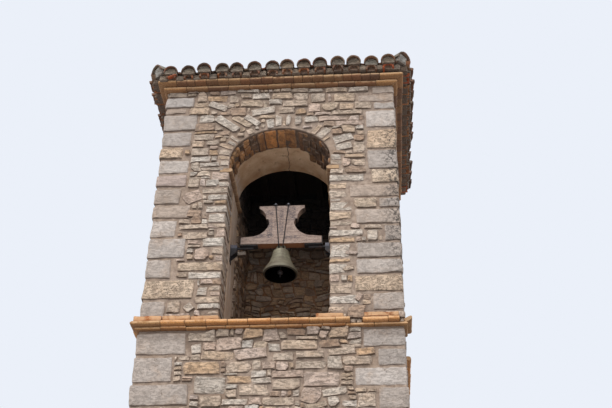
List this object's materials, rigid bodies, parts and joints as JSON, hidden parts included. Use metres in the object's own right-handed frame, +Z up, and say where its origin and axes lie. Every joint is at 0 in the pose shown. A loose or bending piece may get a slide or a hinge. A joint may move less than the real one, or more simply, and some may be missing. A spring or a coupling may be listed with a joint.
{
  "type": "rubble stone bell tower with a swinging bell",
  "caption": "Square rubble stone bell tower with an arched belfry, brick string course and cornice, a low hipped tile roof and a bell that swings in a timber yoke.",
  "frame": {"origin": "on the ground, at the middle of the footprint", "axes": "+X to the right seen from the front, the arched front faces -Y, +Z up"},
  "size_m": [3.3572, 2.9572, 10.9559],
  "materials": {
    "rubble_stone": "rough",
    "brick": "rough",
    "roof_tile": "rough",
    "plaster": "rough",
    "old_timber": "rough",
    "weathered_timber": "rough",
    "wrought_iron": "matt",
    "bronze": "patinated"
  },
  "bodies": {
    "tower": {"shaft_front_wall": "rubble_stone", "shaft_back_wall": "rubble_stone", "shaft_left_wall": "rubble_stone", "shaft_right_wall": "rubble_stone", "belfry_front_left_pier": "rubble_stone", "belfry_front_right_pier": "rubble_stone", "belfry_arch_wall": "rubble_stone", "belfry_left_wall": "rubble_stone", "belfry_right_wall": "rubble_stone", "belfry_back_wall": "rubble_stone", "arch_ring": "rubble_stone", "belfry_floor": "rubble_stone", "string_lower_front_and_back": "brick", "string_lower_sides": "brick", "string_upper_front": "brick", "string_upper_back": "brick", "string_upper_sides": "brick", "imposts": "brick", "cornice_lower_front_and_back": "brick", "cornice_lower_sides": "brick", "cornice_upper_front_and_back": "brick", "cornice_upper_sides": "brick", "string_cap_tiles": "roof_tile", "eaves_tile_course_front_and_back": "roof_tile", "eaves_tile_course_sides": "roof_tile", "roof_front_slope": "roof_tile", "roof_back_slope": "roof_tile", "roof_left_slope": "roof_tile", "roof_right_slope": "roof_tile", "roof_cappings": "roof_tile", "arch_plaster": "plaster", "jamb_plaster": "plaster", "ceiling_joists": "old_timber", "ceiling_boards": "old_timber", "bearing_housings": "wrought_iron", "bearing_brackets": "wrought_iron"},
    "bell": {"yoke_beam": "weathered_timber", "yoke_head": "weathered_timber", "yoke_plate": "wrought_iron", "gudgeons": "wrought_iron", "stirrups": "wrought_iron", "stirrup_nuts": "wrought_iron", "bell": "bronze", "clapper_hanger": "wrought_iron"},
    "clapper": {"clapper": "wrought_iron"}
  },
  "joints": [
    {"name": "bell_swing", "type": "hinge", "parent": "tower", "child": "bell", "pos_m": [0.03, -0.7, 8.129], "axis": [1, 0, 0], "continuous": true},
    {"name": "clapper_swing", "type": "hinge", "parent": "bell", "child": "clapper", "pos_m": [0.03, -0.7, 8.0187], "axis": [1, 0, 0], "range_deg": [-24, 24]}
  ]
}
